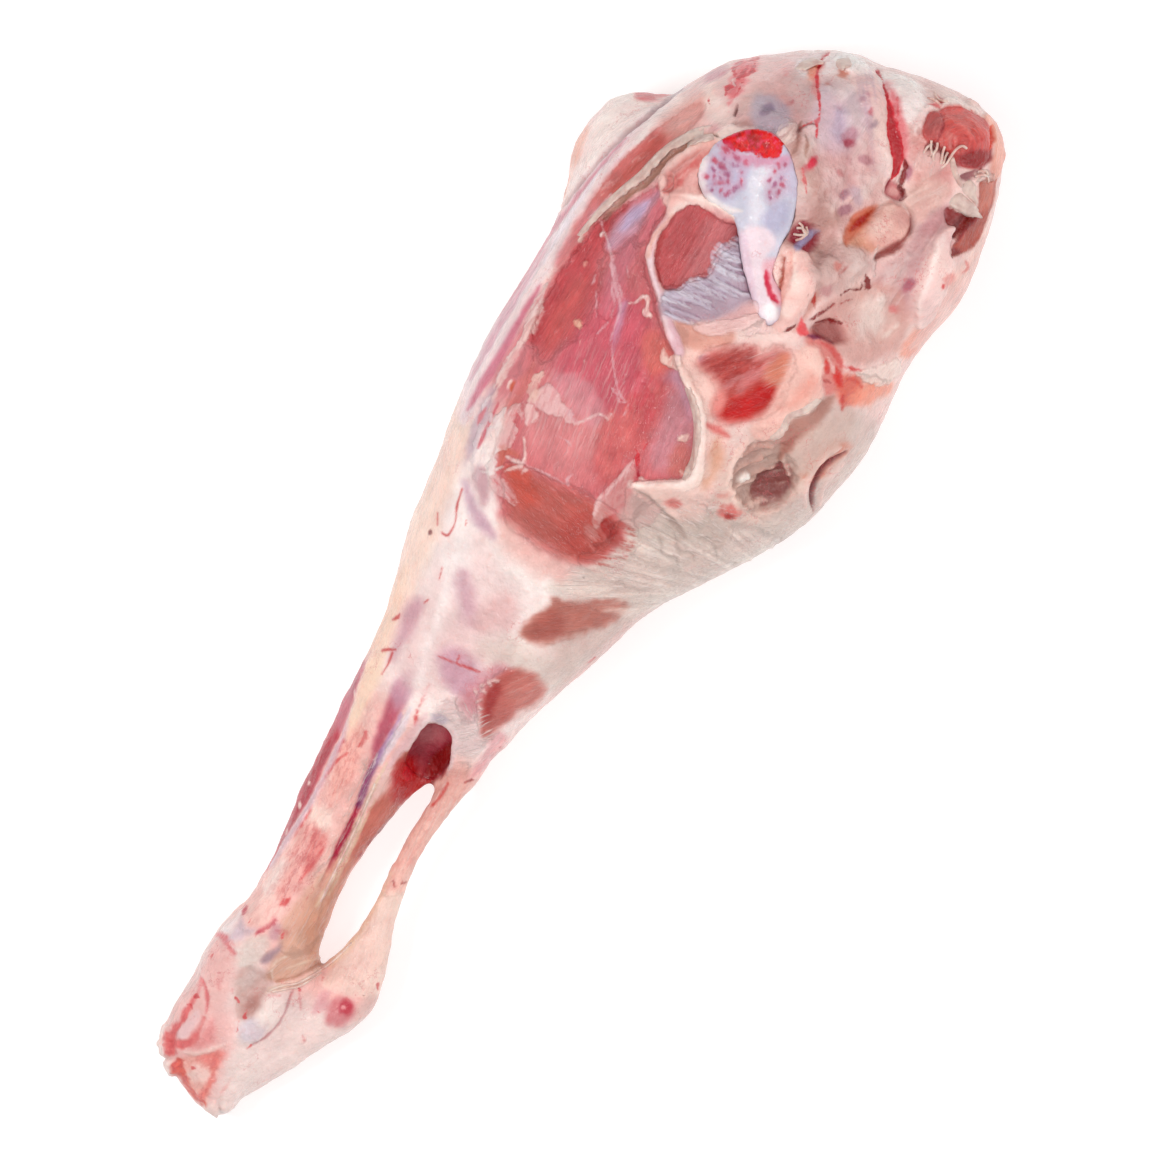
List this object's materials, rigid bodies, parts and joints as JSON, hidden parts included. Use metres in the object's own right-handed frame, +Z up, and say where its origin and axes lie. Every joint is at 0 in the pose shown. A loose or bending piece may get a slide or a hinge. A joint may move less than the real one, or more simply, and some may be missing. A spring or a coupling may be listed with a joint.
{
  "type": "raw leg of lamb",
  "caption": "Raw leg of lamb on the bone, lying on its outer side with the sawn hip bone up, the shank bare and a gap under the heel tendon to hang it by.",
  "frame": {"origin": "bottom centre of the leg's bounding box, on the surface that it lies on", "axes": "+X along the leg from the hock to the rump, +Y from the heel side to the front of the thigh, +Z up out of the inner side, which faces up"},
  "size_m": [0.48, 0.1586, 0.1079],
  "materials": {
    "meat": "moist pink meat under pale cream fat and silverskin, wet sheen",
    "bone": "blue-white sawn bone and cartilage with red marrow, moist"
  },
  "bodies": {
    "root": {"leg": "meat", "hip_bone": "bone"}
  },
  "joints": []
}
